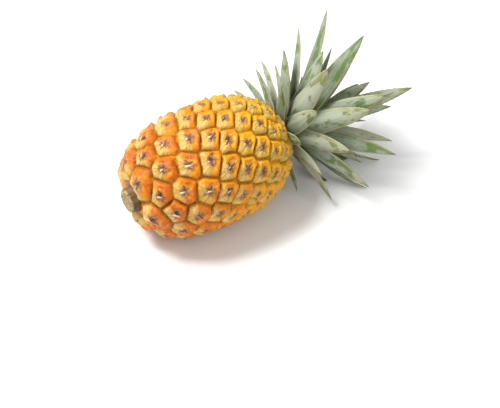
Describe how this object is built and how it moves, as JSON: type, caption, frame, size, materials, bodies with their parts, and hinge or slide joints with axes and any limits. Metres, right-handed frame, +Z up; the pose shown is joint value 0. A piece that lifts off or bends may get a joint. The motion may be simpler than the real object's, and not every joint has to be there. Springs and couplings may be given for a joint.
{
  "type": "pineapple",
  "caption": "Whole pineapple lying on its side: a barrel of raised orange eyes, a cut stalk end, and a full crown of grey-green leaves.",
  "frame": {"origin": "middle of the flat spot on the belly that the fruit rests on", "axes": "+X along the fruit's axis towards the crown, +Z up"},
  "size_m": [0.2915, 0.1934, 0.1585],
  "materials": {
    "rind": "waxy rind, orange and golden on each eye, brown in the grooves, with pale dry bracts",
    "cut_stalk": "dry, fibrous cut stalk",
    "crown_core": "pale, fibrous stem",
    "leaf_green": "stiff grey-green leaf with a silvery bloom and a fine spiny edge"
  },
  "bodies": {
    "root": {"fruit": "rind", "stalk_stub": "cut_stalk", "crown_stem": "crown_core", "leaf_01": "leaf_green", "leaf_02": "leaf_green", "leaf_03": "leaf_green", "leaf_04": "leaf_green", "leaf_05": "leaf_green", "leaf_06": "leaf_green", "leaf_07": "leaf_green", "leaf_08": "leaf_green", "leaf_09": "leaf_green", "leaf_10": "leaf_green", "leaf_11": "leaf_green", "leaf_12": "leaf_green", "leaf_13": "leaf_green", "leaf_14": "leaf_green", "leaf_15": "leaf_green", "leaf_16": "leaf_green", "leaf_17": "leaf_green", "leaf_18": "leaf_green", "leaf_19": "leaf_green", "leaf_20": "leaf_green", "leaf_21": "leaf_green", "leaf_22": "leaf_green", "leaf_23": "leaf_green", "leaf_24": "leaf_green", "leaf_25": "leaf_green", "leaf_26": "leaf_green", "leaf_27": "leaf_green", "leaf_28": "leaf_green", "leaf_29": "leaf_green", "leaf_30": "leaf_green", "leaf_31": "leaf_green", "leaf_32": "leaf_green", "leaf_33": "leaf_green", "leaf_34": "leaf_green", "leaf_35": "leaf_green", "leaf_36": "leaf_green", "leaf_37": "leaf_green", "leaf_38": "leaf_green", "leaf_39": "leaf_green", "leaf_40": "leaf_green", "leaf_41": "leaf_green", "leaf_42": "leaf_green", "leaf_43": "leaf_green", "leaf_44": "leaf_green", "leaf_45": "leaf_green", "leaf_46": "leaf_green", "leaf_47": "leaf_green", "leaf_48": "leaf_green", "leaf_49": "leaf_green", "leaf_50": "leaf_green", "leaf_51": "leaf_green", "leaf_52": "leaf_green"}
  },
  "joints": []
}
